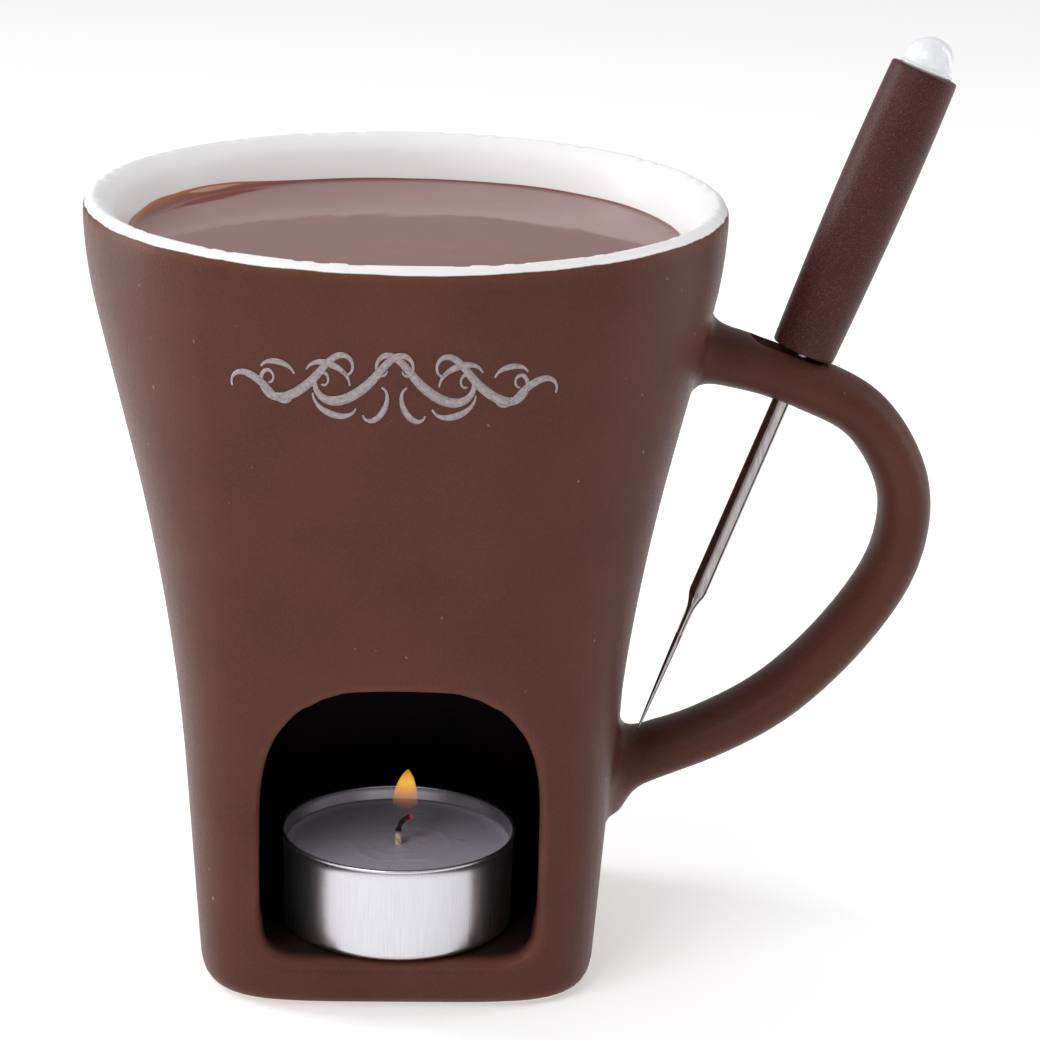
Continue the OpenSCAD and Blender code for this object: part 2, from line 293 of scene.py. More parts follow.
def settle(piece):
    """Makes a piece's modifiers part of its mesh."""
    bpy.context.view_layer.update()
    found = piece.evaluated_get(bpy.context.evaluated_depsgraph_get())
    mesh = bpy.data.meshes.new_from_object(found)
    piece.modifiers.clear()
    piece.data = mesh


def cut(piece, tool, operation="DIFFERENCE"):
    boolean = piece.modifiers.new("cut", "BOOLEAN")
    boolean.operation = operation
    boolean.solver = "EXACT"
    boolean.object = tool
    settle(piece)
    bpy.data.objects.remove(tool)


cut(mug, handle, "UNION")
cut(mug, chamber)
cut(mug, window)

# The clay is sponged before firing and the glaze rounds every edge again, so the
# window and the handle's roots are softened. The slot is cut last, and its lips rounded.
sponge = mug.modifiers.new("sponge", "REMESH")
sponge.mode = "VOXEL"
sponge.voxel_size = 0.00102
settle(mug)
bm = bmesh.new()
bm.from_mesh(mug.data)


def near_window(co):
    return co.y < -0.020 and co.z < 0.062 and abs(window_edge(co.x, co.z) - 1) < 0.10


def near_root(co):
    beside = co.x > 0.026 and abs(co.y) < 0.016 and 0.015 < co.z < 0.112
    return beside and -0.003 < co.x - half_width(co.z) < 0.006


def slot_distance(co):
    """How far a point lies outside the slot's wall, measured square to the slot."""
    local = slot_place.inverted() @ co
    return math.hypot(max(0, abs(local.x) - (slot_length - slot_width) / 2), local.y) - slot_width / 2


def near_slot(co):
    return abs(slot_distance(co)) < 0.0011 and abs(co.z - slot_centre.z) < 0.02


def soften(bm, near, rounds):
    verts = [vert for vert in bm.verts if near(vert.co)]
    for _ in range(rounds):
        bmesh.ops.smooth_vert(bm, verts=verts, factor=0.5,
                              use_axis_x=True, use_axis_y=True, use_axis_z=True)


for near, rounds in ((near_window, 7), (near_root, 18), (lambda co: True, 1)):
    soften(bm, near, rounds)

# The body swells a little where the handle's lower root was pressed on.
bulge_height = 0.040
bulge_reach = 0.010
bulge = 0.0012
bulge_fade = 0.008
for vert in bm.verts:
    off = vert.co.x - half_width(max(0, vert.co.z))
    if off > -0.003:
        rise = math.exp(-((vert.co.z - bulge_height) / bulge_reach) ** 2 - (vert.co.y / bulge_reach) ** 2)
        vert.co.x += bulge * rise * (1 - min(1, max(0, off) / bulge_fade))
bm.to_mesh(mug.data)
cut(mug, slot_core)
bm = bmesh.new()
bm.from_mesh(mug.data)
bmesh.ops.remove_doubles(bm, verts=[vert for vert in bm.verts if near_slot(vert.co)], dist=0.00012)
lip_edges = [edge for edge in bm.edges if len(edge.link_faces) == 2 and edge.calc_face_angle(0) > 0.6
             and all(near_slot(vert.co) for vert in edge.verts)]
bmesh.ops.bevel(bm, geom=lip_edges, offset=0.0006, segments=3, profile=0.5, affect="EDGES",
                clamp_overlap=True)
bmesh.ops.recalc_face_normals(bm, faces=bm.faces)
white_wrap = 0.0011
white_depth = bm.verts.layers.float.new("white_depth")
thin_glaze_and_highlight = bm.verts.layers.float.new("thin_glaze_and_highlight")
painted_chamber_shade = bm.verts.layers.float.new("painted_chamber_shade")
for vert in bm.verts:
    x, y, z = vert.co
    power = squareness(max(z, 0))
    depth = half_width(z) - (abs(x) ** power + abs(y) ** power) ** (1 / power)
    if depth > lip / 2:
        vert[white_depth] = 5 if z > chamber_top + 0.002 else -5
    else:
        vert[white_depth] = (z - mug_height + white_wrap) * 1000
    rim_edge = max(0, 1 - abs(z - mug_height + 0.0013) / 0.0016) if depth < 0.001 else 0
    # Along the window's rim this lighter glaze band is also a painted highlight, for the light its rounded
    # edge catches.
    window_rim_glaze_and_highlight = max(0, 1 - abs(window_edge(x, z) - 1.01) / 0.055) if near_window(vert.co) else 0
    slot_rim = max(0, 1 - abs(slot_distance(vert.co) - 0.0004) / 0.0012) if near_slot(vert.co) else 0
    foot_rim = max(0, 1 - abs(z - 0.0012) / 0.0016) if depth < 0.004 else 0
    # Painted shade: inside the burner chamber the glaze is marked to be coloured near black, for the dark
    # recess.
    inward = min(1, max(0, depth / 0.002 - 0.9)) if chamber_floor - 0.001 < z < chamber_top + 0.002 else 0
    vert[painted_chamber_shade] = inward
    vert[thin_glaze_and_highlight] = max(rim_edge, window_rim_glaze_and_highlight, 0.6 * slot_rim, 0.5 * foot_rim)
for face in bm.faces:
    face.smooth = True
bm.to_mesh(mug.data)
bm.free()


def paint(red, green, blue):
    """A colour given as it looks, from 0 to 255, in the shader's linear light."""
    shown = [value / 255 for value in (red, green, blue)]
    return [v / 12.92 if v <= 0.04045 else ((v + 0.055) / 1.055) ** 2.4 for v in shown] + [1]


def new_finish(name, **sockets):
    """A material and its shader; the sockets' names are written with _ for a space."""
    material = bpy.data.materials.new(name)
    material.use_nodes = True
    shader = material.node_tree.nodes["Principled BSDF"]
    for socket, value in sockets.items():
        shader.inputs[socket.replace("_", " ")].default_value = value
    return material, shader


def add(material, kind, sockets, **settings):
    """Adds a node; a socket takes a plain value or another node's output."""
    made = material.node_tree.nodes.new("ShaderNode" + kind)
    for setting, value in settings.items():
        setattr(made, setting, value)
    for socket, value in sockets.items():
        if isinstance(value, bpy.types.NodeSocket):
            material.node_tree.links.new(value, made.inputs[socket])
        else:
            made.inputs[socket].default_value = value
    return made


def wire(material, output, shader, socket):
    material.node_tree.links.new(output, shader.inputs[socket])


def grain(material, size, detail=2, stretch=(1, 1, 1), roughness=0.5):
    """Noise about size metres across, in the piece's own coordinates."""
    place = add(material, "TexCoord", {}).outputs["Object"]
    turned = add(material, "Mapping", {"Vector": place, "Scale": stretch}).outputs["Vector"]
    return add(material, "TexNoise", {"Vector": turned, "Scale": 1 / size, "Detail": detail,
                                      "Roughness": roughness}).outputs["Fac"]


def span(material, value, low, high, to_low=0, to_high=1):
    return add(material, "MapRange", {"Value": value, "From Min": low, "From Max": high,
                                      "To Min": to_low, "To Max": to_high}).outputs["Result"]


def mixed(material, share, first, second):
    """Blends two colours, each plain or from a node, by a share from 0 to 1."""
    made = add(material, "Mix", {0: share, 6: first, 7: second}, data_type="RGBA")
    return made.outputs[2]


def maths(material, operation, first, second):
    return add(material, "Math", {0: first, 1: second}, operation=operation).outputs[0]


def bump(material, height, strength, distance, shader):
    made = add(material, "Bump", {"Height": height, "Strength": strength, "Distance": distance})
    wire(material, made.outputs["Normal"], shader, "Normal")


def measured(material, attribute):
    return add(material, "Attribute", {}, attribute_name=attribute).outputs["Fac"]


brown_glaze, shader = new_finish("brown_glaze", IOR=1.5, Specular_IOR_Level=0.09)
grit = grain(brown_glaze, 0.00035, 3)
flow = grain(brown_glaze, 0.014, 3)
fired = mixed(brown_glaze, span(brown_glaze, flow, 0.3, 0.7), paint(77, 45, 36), paint(84, 50, 42))
fired = mixed(brown_glaze, span(brown_glaze, grit, 0.42, 0.75, 0, 0.34), fired, paint(99, 64, 52))
dust = grain(brown_glaze, 0.0016, 1)
fired = mixed(brown_glaze, span(brown_glaze, dust, 0.79, 0.83, 0, 0.5), fired, paint(158, 132, 124))
# Lighter glaze where it runs thin on the lip, slot and foot; along the window's rim this band is also painted
# highlight.
thin_glaze_and_highlight_share = maths(brown_glaze, "MULTIPLY", measured(brown_glaze, "thin_glaze_and_highlight"),
             span(brown_glaze, flow, 0.2, 0.7, 0.12, 0.36))
fired = mixed(brown_glaze, thin_glaze_and_highlight_share, fired, paint(128, 78, 56))
# Painted shade: the burner chamber's walls and ceiling are coloured near black.
chamber_shade_share = maths(brown_glaze, "MULTIPLY", measured(brown_glaze, "painted_chamber_shade"),
             span(brown_glaze, flow, 0.2, 0.8, 0.8, 0.95))
fired = mixed(brown_glaze, chamber_shade_share, fired, paint(20, 15, 16))
wander = span(brown_glaze, grain(brown_glaze, 0.009, 2), 0.3, 0.7, -0.1, 0.1)
white = maths(brown_glaze, "ADD", measured(brown_glaze, "white_depth"), wander)
white = span(brown_glaze, white, -0.08, 0.08)
fired = mixed(brown_glaze, white, fired, paint(240, 239, 240))
place = add(brown_glaze, "TexCoord", {}).outputs["Object"]
height = add(brown_glaze, "SeparateXYZ", {"Vector": place}).outputs["Z"]
bare = span(brown_glaze, maths(brown_glaze, "ADD", height, maths(brown_glaze, "MULTIPLY", grit, 0.0003)),
            0.00045, 0.0007, 1, 0)
fired = mixed(brown_glaze, bare, fired, paint(214, 200, 180))
wire(brown_glaze, fired, shader, "Base Color")
satin = span(brown_glaze, grit, 0.3, 0.7, 0.31, 0.45)
satin = maths(brown_glaze, "MULTIPLY", satin, span(brown_glaze, white, 0, 1, 1, 0.62))
satin = maths(brown_glaze, "ADD", satin, maths(brown_glaze, "MULTIPLY", bare, 0.45))
wire(brown_glaze, satin, shader, "Roughness")
orange_peel = maths(brown_glaze, "MULTIPLY", grit, span(brown_glaze, white, 0, 1, 1, 0.05))
orange_peel = maths(brown_glaze, "ADD", orange_peel,
                    maths(brown_glaze, "MULTIPLY", grain(brown_glaze, 0.003, 1), 0.6))
bump(brown_glaze, orange_peel, 0.22, 0.0003, shader)
mug.data.materials.clear()
mug.data.materials.append(brown_glaze)
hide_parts("mug_body", "mug_handle")
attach(mug, "mug")


# ---------------------------------------------------------------- printed ornament
# A scroll of vines transfer-printed in silver grey on the fired glaze, a twentieth
# of a millimetre thick. It is a plain flourish, the same to both sides of its middle.
silver_print, shader = new_finish("silver_print", Metallic=0.15)
worn = grain(silver_print, 0.0005, 3)
wire(silver_print, mixed(silver_print, span(silver_print, worn, 0.35, 0.7), paint(134, 121, 124),
                         paint(164, 151, 154)), shader, "Base Color")
wire(silver_print, span(silver_print, worn, 0.3, 0.7, 0.34, 0.5), shader, "Roughness")
bump(silver_print, worn, 0.05, 0.00005, shader)
print_centre = Vector((-0.0019, 0, 0.1062))
print_lift = 0.00004
hairline = 0.00014
print_wide, print_tall = 0.92, 1.3
# Each stroke: its middle and heading there (mm, degrees), its length, the bend at its middle and
# the bend its ends add (degrees a mm), True where the two ends turn opposite ways, and its fullest
# half width (mm).
vine_strokes = [
    ((5.6, 0.0), -30, 27, 5, 92, True, 0.66),
    ((14.6, 0.1), -32, 25, 5, 96, True, 0.62),
    ((21.6, 0.4), 28, 12, -6, -70, True, 0.50),
    ((10.2, 3.2), 14, 8.5, -8, -34, False, 0.42),
    ((10.0, -3.0), 14, 8.5, 8, 34, False, 0.42),
    ((18.6, 3.0), 6, 6, -9, -40, False, 0.36),
    ((1.9, -2.6), -50, 7.5, 16, 60, False, 0.44),
]


def flourish(middle, heading, length, bend, curl, opposed, steps=80):
    """A pen stroke followed from its middle out to both ends, as points and headings."""
    halves = []
    for way in (-1, 1):
        place, turn = Vector((middle[0], 0, middle[1])) / 1000, math.radians(heading)
        half = []
        for step in range(steps // 2 + 1):
            pointing = Vector((math.cos(turn), 0, math.sin(turn)))
            half.append((place.copy(), pointing))
            place += way * pointing * length / 1000 / steps
            here = bend + curl * (step / (steps // 2)) ** 2.2 * (way if opposed else 1)
            turn += way * math.radians(here) * length / steps
        halves.append(half)
    return halves[0][::-1] + halves[1][1:]


glaze_skin = BVHTree.FromObject(mug, bpy.context.evaluated_depsgraph_get())
bm = bmesh.new()
for *shape, fullest in vine_strokes:
    line = flourish(*shape)
    for side in (-1, 1):
        grid = bmesh.ops.create_grid(bm, x_segments=len(line) - 1, y_segments=2, size=1)["verts"]
        for vert in grid:
            along = round((vert.co.x + 1) / 2 * (len(line) - 1))
            place, way = line[along]
            fullness = max(0, math.sin(math.pi * along / (len(line) - 1))) ** 1.4
            swell = hairline + (fullest / 1000 - hairline) * fullness
            spot = place + Vector((-way.z, 0, way.x)) * swell * vert.co.y
            spot = print_centre + Vector((side * spot.x * print_wide, 0, spot.z * print_tall))
            struck = glaze_skin.ray_cast(Vector((spot.x, -0.2, spot.z)), Vector((0, 1, 0)))[0]
            vert.co = struck - Vector((0, print_lift, 0))
bmesh.ops.solidify(bm, geom=list(bm.faces), thickness=0.00006)
printed = as_piece(bm, "printed_scroll")
printed.data.materials.append(silver_print)
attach(printed, "mug")


# ---------------------------------------------------------------- melted chocolate
# Milk chocolate poured warm into the bowl. It wets the wall, so its edge climbs
# a little, and a thin film is left where it ran back down the left side.
chocolate_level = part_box("melted_chocolate")[1].z
pour_gap = 0.00005


def left_film(angle):
    """How high the film stands on the wall, by the angle round the bowl."""
    run = math.exp(-((math.degrees(angle) % 360 - 148) / 26) ** 2)
    waver = noise.noise(Vector((math.cos(angle) * 4, math.sin(angle) * 4, 2)))
    return 0.0003 + 0.0014 * run * (1 + 0.3 * waver) + 0.0001 * waver


bm = bmesh.new()
verts = bmesh.ops.create_circle(bm, cap_ends=True, radius=1, segments=160)["verts"]
edges = list(bm.edges)
lay(verts, corner_half - bowl_corner - pour_gap, squareness(bowl_floor), bowl_floor + pour_gap)
for turn in quarter(8)[1:]:
    z = bowl_floor + bowl_corner * (1 - math.cos(turn))
    verts, edges = grow(bm, edges)
    lay(verts, corner_half - bowl_corner * (1 - math.sin(turn)) - pour_gap, squareness(z), z)
for z in heights(bowl_floor + bowl_corner, chocolate_level - 0.0005, 14)[1:]:
    verts, edges = grow(bm, edges)
    lay(verts, bowl_half(z) - pour_gap, squareness(z), z)
# film and meniscus: inset from the wall, and the share of the film's height there
edge_shape = [(0.00003, 0.6), (0.00005, 1), (0.00022, 0.97), (0.00035, 0.75), (0.0005, 0.45),
              (0.0008, 0.22), (0.0013, 0.08), (0.0022, 0.02), (0.004, 0)]
for inset, share in edge_shape:
    verts, edges = grow(bm, edges)
    for vert in verts:
        angle = math.atan2(vert.co.y, vert.co.x)
        z = chocolate_level + left_film(angle) * share
        lay([vert], bowl_half(z) - inset, squareness(z), z)
level_half = bowl_half(chocolate_level)
for half in heights(level_half - 0.0055, 0.0006, 40):
    verts, edges = grow(bm, edges)
    lay(verts, half, 2, chocolate_level)
    for vert in verts:
        # slow folds left by the spoon, wound round a spot right of the middle
        swirl = vert.co.xy - Vector((0.008, 0.004))
        winding = swirl.length * 900 + math.atan2(swirl.y, swirl.x)
        calm = min(1, (level_half - half) / 0.012) * min(1, swirl.length / 0.006)
        vert.co.z += calm * (0.000005 * math.sin(winding) + 0.000006 * noise.noise(vert.co * 90))
bmesh.ops.holes_fill(bm, edges=edges, sides=0)
film_height = bm.verts.layers.float.new("film_height")
for vert in bm.verts:
    vert[film_height] = max(0, vert.co.z - chocolate_level - 0.0003) * 1000
chocolate = as_piece(bm, "chocolate_pour")
milk_chocolate, shader = new_finish("milk_chocolate", IOR=1.42,
                                    Subsurface_Weight=0.15, Subsurface_Scale=0.001)
shader.inputs["Subsurface Radius"].default_value = (1.0, 0.5, 0.3)
silk = grain(milk_chocolate, 0.02, 3, (1, 1, 4))
poured = mixed(milk_chocolate, span(milk_chocolate, silk, 0.3, 0.7), paint(116, 64, 57), paint(124, 70, 62))
poured = mixed(milk_chocolate, span(milk_chocolate, measured(milk_chocolate, "film_height"), 0, 0.8),
               poured, paint(164, 98, 58))
wire(milk_chocolate, poured, shader, "Base Color")
wire(milk_chocolate, span(milk_chocolate, grain(milk_chocolate, 0.006, 3), 0.3, 0.7, 0.03, 0.06),
     shader, "Roughness")
bump(milk_chocolate, grain(milk_chocolate, 0.009, 2), 0.012, 0.0003, shader)
chocolate.data.materials.append(milk_chocolate)
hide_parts("melted_chocolate")
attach(chocolate, "mug")


# ---------------------------------------------------------------- tealight cup
# A cup drawn from thin bright aluminium sheet, its top edge rolled outward over
# itself. The drawing leaves fine upright lines, and handling leaves small dents.
cup_low, cup_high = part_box("tealight_cup")
cup_middle = Vector(((cup_low.x + cup_high.x) / 2, (cup_low.y + cup_high.y) / 2, cup_low.z))
cup_radius = (cup_high.x - cup_low.x) / 2
cup_tall = cup_high.z - cup_low.z
cup_sheet = 0.0004
cup_bend = 0.0012
cup_taper = 0.0005
rim_roll = 0.0003


def arc(across, height, radius, start, end, steps):
    """Points round a part of a circle in the turning plane, in degrees."""
    turns = [math.radians(start + (end - start) * step / steps) for step in range(steps + 1)]
    return [(across + radius * math.cos(turn), height + radius * math.sin(turn)) for turn in turns]


def turned(profile, name, place, steps=128, shape=None):
    """Spins a profile of (radius, height) right round; the ends lie on the axis."""
    bm = bmesh.new()
    verts = [bm.verts.new((across, 0, height)) for across, height in profile]
    edges = [bm.edges.new(pair) for pair in zip(verts, verts[1:])]
    bmesh.ops.spin(bm, geom=verts + edges, cent=(0, 0, 0), axis=(0, 0, 1), dvec=(0, 0, 0),
                   angle=2 * math.pi, steps=steps, use_merge=True, use_duplicate=False)
    bmesh.ops.remove_doubles(bm, verts=bm.verts, dist=0.000001)
    if shape:
        for vert in bm.verts:
            shape(vert)
    bmesh.ops.transform(bm, matrix=place, verts=bm.verts)
    return as_piece(bm, name)


def dented(vert):
    """Fine draw waves all round, and a few soft dents low on the wall."""
    across = vert.co.xy.length
    if across < cup_radius * 0.9 or vert.co.z > cup_tall - 0.0012:
        return
    around = math.atan2(vert.co.y, vert.co.x)
    low = max(0, 1 - vert.co.z / 0.006)
    waves = 0.00003 * noise.noise(Vector((around * 9, vert.co.z * 60, 0)))
    dent = 0.00014 * low * min(0, noise.noise(Vector((around * 14, vert.co.z * 300, 5))))
    vert.co.xy *= (across + waves + dent) / across


outer_foot = cup_radius - cup_taper
outer_top = cup_radius - rim_roll
profile = [(0, 0.0003), (outer_foot * 0.55, 0.0003), (outer_foot * 0.57, 0)]
profile += arc(outer_foot - cup_bend, cup_bend, cup_bend, -90, 0, 6)
profile += [(outer_foot + (outer_top - 0.0001 - outer_foot) * share,
             cup_bend + (cup_tall - 2.2 * rim_roll - cup_bend) * share)
            for share in (0.15, 0.3, 0.45, 0.6, 0.75, 0.9, 1)]
profile += arc(outer_top, cup_tall - rim_roll, rim_roll, -75, 205, 16)
profile += [(outer_top - cup_sheet - 0.0001, cup_tall - 3 * rim_roll), (outer_foot - cup_sheet, cup_bend)]
profile += arc(outer_foot - cup_bend, cup_bend, cup_bend - cup_sheet, 0, -90, 4)[1:]
profile += [(0, cup_sheet)]
foil_cup = turned(profile, "foil_cup", Matrix.Translation(cup_middle), 160, dented)
drawn_aluminium, shader = new_finish("drawn_aluminium", Metallic=1.0, Anisotropic=0.3)
place = add(drawn_aluminium, "TexCoord", {}).outputs["Object"]
from_middle = add(drawn_aluminium, "Mapping", {"Vector": place, "Location": -cup_middle}).outputs["Vector"]
around = add(drawn_aluminium, "SeparateXYZ", {"Vector": from_middle})
turn = maths(drawn_aluminium, "ARCTAN2", around.outputs["Y"], around.outputs["X"])
lines = add(drawn_aluminium, "CombineXYZ", {"X": maths(drawn_aluminium, "MULTIPLY", turn, 60),
                                            "Y": maths(drawn_aluminium, "MULTIPLY", around.outputs["Z"], 90)})
lines = add(drawn_aluminium, "TexNoise",
            {"Vector": lines.outputs["Vector"], "Scale": 1.6, "Detail": 4}).outputs["Fac"]
wire(drawn_aluminium, mixed(drawn_aluminium, span(drawn_aluminium, lines, 0.3, 0.7), paint(204, 203, 208),
                            paint(216, 215, 219)), shader, "Base Color")
wire(drawn_aluminium, span(drawn_aluminium, lines, 0.3, 0.7, 0.27, 0.33), shader, "Roughness")
bump(drawn_aluminium, lines, 0.02, 0.00003, shader)
foil_cup.data.materials.append(drawn_aluminium)
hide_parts("tealight_cup")
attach(foil_cup, "tealight")


# ---------------------------------------------------------------- candle wax
# Pressed paraffin, melted once and set again: the top dishes towards the wick,
# climbs the foil by a hair, and carries thin set skins in rings.
wax_low, wax_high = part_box("tealight_wax")
wax_level = wax_high.z - cup_low.z
wax_half = (wax_high.x - wax_low.x) / 2


def set_skin(vert):
    across = vert.co.xy.length
    if vert.co.z < wax_level - 0.0012:
        return
    around = math.atan2(vert.co.y, vert.co.x)
    waver = noise.noise(Vector((math.cos(around) * 2, math.sin(around) * 2, across * 60)))
    ring = math.exp(-((across - 0.0075 - 0.0012 * waver) / 0.0005) ** 2)
    ring += 0.6 * math.exp(-((across - 0.0046 - 0.0008 * waver) / 0.0004) ** 2)
    vert.co.z += 0.00011 * ring + 0.00004 * waver


profile = [(0, cup_sheet + 0.00002), (wax_half - 0.0010, cup_sheet + 0.00002),
           (wax_half - 0.0002, cup_bend + 0.0002), (wax_half - 0.00005, wax_level - 0.0006),
           (wax_half - 0.00005, wax_level + 0.0002)]
profile += [(wax_half * share,
             wax_level - 0.0002 - 0.00045 * (1 - share) + 0.0004 * max(0, (share - 0.93) / 0.07) ** 2)
            for share in [1 - step / 46 for step in range(1, 46)]]
profile += [(0, wax_level - 0.0006)]
wax = turned(profile, "wax_fill", Matrix.Translation(cup_middle), 128, set_skin)
paraffin, shader = new_finish("paraffin", IOR=1.44, Subsurface_Weight=0.6, Subsurface_Scale=0.0025)
shader.inputs["Subsurface Radius"].default_value = (1, 0.9, 0.8)
cloud = grain(paraffin, 0.003, 4)
wire(paraffin, mixed(paraffin, span(paraffin, cloud, 0.3, 0.7), paint(196, 193, 206), paint(202, 199, 211)),
     shader, "Base Color")
wire(paraffin, span(paraffin, cloud, 0.3, 0.7, 0.27, 0.33), shader, "Roughness")
bump(paraffin, cloud, 0.015, 0.0002, shader)
wax.data.materials.append(paraffin)
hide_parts("tealight_wax")
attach(wax, "tealight")


# ---------------------------------------------------------------- wick and its tin foot
# A stamped tin disc with a crimped neck holds a braided cotton wick upright in the
# wax. The wick's end has burnt black and curled over, with a last ember on its tip.
tin_low, tin_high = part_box("wick_sustainer")
tin_half = (tin_high.x - tin_low.x) / 2
tin_base = tin_low.z - cup_low.z
tin_top = tin_high.z - cup_low.z
neck_half = 0.0012
tin_sheet = 0.0003
profile = [(0, tin_base), (tin_half, tin_base), (tin_half, tin_base + tin_sheet),
           (neck_half + 0.0006, tin_base + tin_sheet), (neck_half, tin_base + 0.0008),
           (neck_half * 0.92, tin_top - tin_sheet), (neck_half * 0.8, tin_top), (0, tin_top)]
tin_foot = turned(profile, "wick_tin_foot", Matrix.Translation(cup_middle), 48)
stamped_tin, shader = new_finish("stamped_tin", Metallic=1.0)
dull = grain(stamped_tin, 0.0006, 3)
wire(stamped_tin, mixed(stamped_tin, dull, paint(150, 150, 152), paint(190, 190, 192)), shader, "Base Color")
wire(stamped_tin, span(stamped_tin, dull, 0.3, 0.7, 0.3, 0.5), shader, "Roughness")
tin_foot.data.materials.append(stamped_tin)
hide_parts("wick_sustainer")
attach(tin_foot, "tealight")

wick_half = 0.00065
wick_bend_radius = 0.0027
wick_bend = math.radians(78)
straight_top = wax_level + 0.0016
stations = []
for step in range(40):
    share = step / 39
    fray = 1 + 0.10 * math.sin(step * 2.1) + 0.06 * math.sin(step * 5.3)
    if share < 0.6:
        place = Vector((0, 0, tin_base + tin_sheet + (straight_top - tin_base - tin_sheet) * share / 0.6))
        heading = Vector((0, 0, 1))
    else:
        bent = (share - 0.6) / 0.4 * wick_bend
        place = Vector((wick_bend_radius * (1 - math.cos(bent)), 0,
                        straight_top + wick_bend_radius * math.sin(bent)))
        heading = Vector((math.sin(bent), 0, math.cos(bent)))
    charred = min(1, max(0, (share - 0.52) / 0.16))
    girth = wick_half * fray * (1 - 0.42 * charred)
    stations.append(Matrix.Translation(cup_middle)
                    @ station(place, heading, Vector((0, 1, 0)), girth, girth * 0.85))
wick = sweep(stations, 20, "cotton_wick")
braided_cotton, shader = new_finish("braided_cotton", Emission_Strength=1.1)
place = add(braided_cotton, "SeparateXYZ", {"Vector": add(braided_cotton, "TexCoord", {}).outputs["Object"]})
braid = add(braided_cotton, "TexWave", {"Vector": add(braided_cotton, "TexCoord", {}).outputs["Object"],
                                        "Scale": 420, "Distortion": 6, "Detail Scale": 2},
            bands_direction="DIAGONAL")
burnt_from = cup_middle.z + wax_level
burnt = span(braided_cotton, place.outputs["Z"], burnt_from + 0.0011, burnt_from + 0.0018)
cotton = mixed(braided_cotton, braid.outputs["Fac"], paint(205, 182, 150), paint(236, 222, 196))
cotton = mixed(braided_cotton, burnt, cotton, paint(22, 20, 24))
wire(braided_cotton, cotton, shader, "Base Color")
wire(braided_cotton, span(braided_cotton, braid.outputs["Fac"], 0, 1, 0.7, 0.95), shader, "Roughness")
ember = span(braided_cotton, place.outputs["X"], cup_middle.x + 0.0017, cup_middle.x + 0.0021)
wire(braided_cotton, mixed(braided_cotton, ember, (0, 0, 0, 1), paint(190, 40, 20)), shader, "Emission Color")
bump(braided_cotton, braid.outputs["Fac"], 0.8, 0.0002, shader)
wick.data.materials.append(braided_cotton)
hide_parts("tealight_wick")
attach(wick, "tealight")


# ---------------------------------------------------------------- flame
# A small steady flame: a clear, faintly rosy foot just over the wick's end and a
# bright yellow body that thins to an orange point. A paler heart sits inside it.
flame_foot = cup_middle + Vector((0.0012, 0, wax_level + 0.0053))


def flame_shell(name, half, tall, lift, dense):
    """A bullet-shaped flame turned on the lathe, clear at its foot, leaning with the draught."""
    outline = [(0, 0)]
    for step in range(1, 32):
        share = step / 32
        outline.append((half * min(1, (share / 0.16)) ** 0.5 * (1 - share**2.4) ** 0.8, tall * share))
    outline.append((0, tall))

    def lean(vert):
        vert.co.x += 0.0004 * (vert.co.z / tall) ** 2 - 0.0002

    shell = turned(outline, name, Matrix.Translation(flame_foot + Vector((0, 0, lift))), 48, lean)
    glow, shader = new_finish(name + "_glow", Base_Color=(0, 0, 0, 1), Roughness=1, Specular_IOR_Level=0,
                              Emission_Strength=1.0)
    z = add(glow, "SeparateXYZ", {"Vector": add(glow, "TexCoord", {}).outputs["Object"]}).outputs["Z"]
    flicker = span(glow, grain(glow, 0.003, 2), 0.3, 0.7, -0.03, 0.03)
    rising = maths(glow, "ADD", span(glow, z, flame_foot.z + lift, flame_foot.z + lift + tall), flicker)
    hot = add(glow, "ValToRGB", {"Fac": rising})
    stops = hot.color_ramp.elements
    stops[0].position, stops[0].color = 0.1, paint(120, 84, 96)
    stops[1].position, stops[1].color = 1, paint(232, 132, 28)
    for spot, colour in ((0.3, paint(196, 118, 84)), (0.5, paint(240, 160, 70)), (0.72, paint(250, 196, 84))):
        stops.new(spot).color = colour
    wire(glow, hot.outputs["Color"], shader, "Emission Color")
    clear = add(glow, "ValToRGB", {"Fac": rising})
    stops = clear.color_ramp.elements
    stops[0].position, stops[0].color = 0.06, (0, 0, 0, 1)
    stops[1].position, stops[1].color = 1, (dense,) * 3 + (1,)
    stops.new(0.55).color = (dense,) * 3 + (1,)
    wire(glow, clear.outputs["Color"], shader, "Alpha")
    shell.data.materials.append(glow)
    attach(shell, "tealight")


flame_shell("flame_body", 0.00205, 0.0070, 0, 0.5)
flame_shell("flame_heart", 0.0014, 0.0048, 0.0017, 0.5)


# ---------------------------------------------------------------- fork shaft
# Polished stainless rod, 2.9 mm thick, pressed flat and split at its end into two
# fine tines. Its other end runs up inside the grip as a tang.
fork_lean = math.radians(4)
fork_turn = math.radians(-11.5)
fork_place = (
    Matrix.Translation((0.0637, 0.0003, 0.1006))
    @ Matrix.Rotation(fork_tilt, 4, "Y")
    @ Matrix.Rotation(-fork_lean, 4, "X")
    @ Matrix.Rotation(fork_turn, 4, "Z")
)
shaft_half = 0.00145
tine_half_w = 0.0007
side_way = Vector((0, 1, 0))


def rod(sections, name, sides=40):
    """A straight rod up the fork's line through (height, half x, half y, shift y)."""
    stations = [station(Vector((0, shift, z)), Vector((0, 0, -1)), side_way, half_x, half_y)
                for z, half_x, half_y, shift in sections]
    return sweep([fork_place @ one for one in stations], sides, name)


